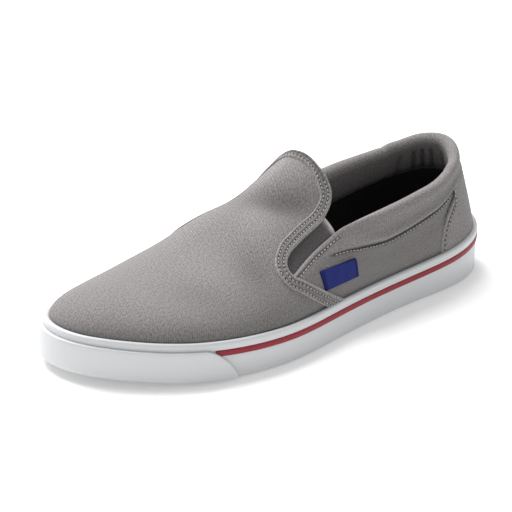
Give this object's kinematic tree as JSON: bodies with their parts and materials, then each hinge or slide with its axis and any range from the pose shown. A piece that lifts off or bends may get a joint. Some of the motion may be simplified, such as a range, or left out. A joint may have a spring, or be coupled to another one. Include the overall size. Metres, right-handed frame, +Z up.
{
  "type": "slip-on sneaker",
  "caption": "Left low-cut canvas slip-on sneaker with elastic side gussets, a padded collar, a banded vamp and a white rubber sidewall with a red line.",
  "frame": {"origin": "bottom centre of the bounding box, on the floor under the sole", "axes": "+X from heel to toe, +Y to the shoe's outer side, +Z up"},
  "size_m": [0.2983, 0.1066, 0.0841],
  "materials": {
    "canvas": "warm grey cotton twill, matt",
    "elastic": "dark grey ribbed elastic webbing",
    "white_rubber": "white vulcanised rubber, satin",
    "tread_rubber": "off-white rubber, matt",
    "red_rubber": "deep red rubber line, satin",
    "lining": "black cotton drill lining",
    "blue_weave": "royal blue woven label, blank"
  },
  "bodies": {
    "root": {"outsole": "tread_rubber", "foxing": "white_rubber", "toe_bumper": "white_rubber", "pinstripe": "red_rubber", "insole": "lining", "upper": "canvas", "gore_lateral": "elastic", "gore_medial": "elastic", "vamp_band": "canvas", "heel_counter": "canvas", "side_tag": "blue_weave"}
  },
  "joints": []
}
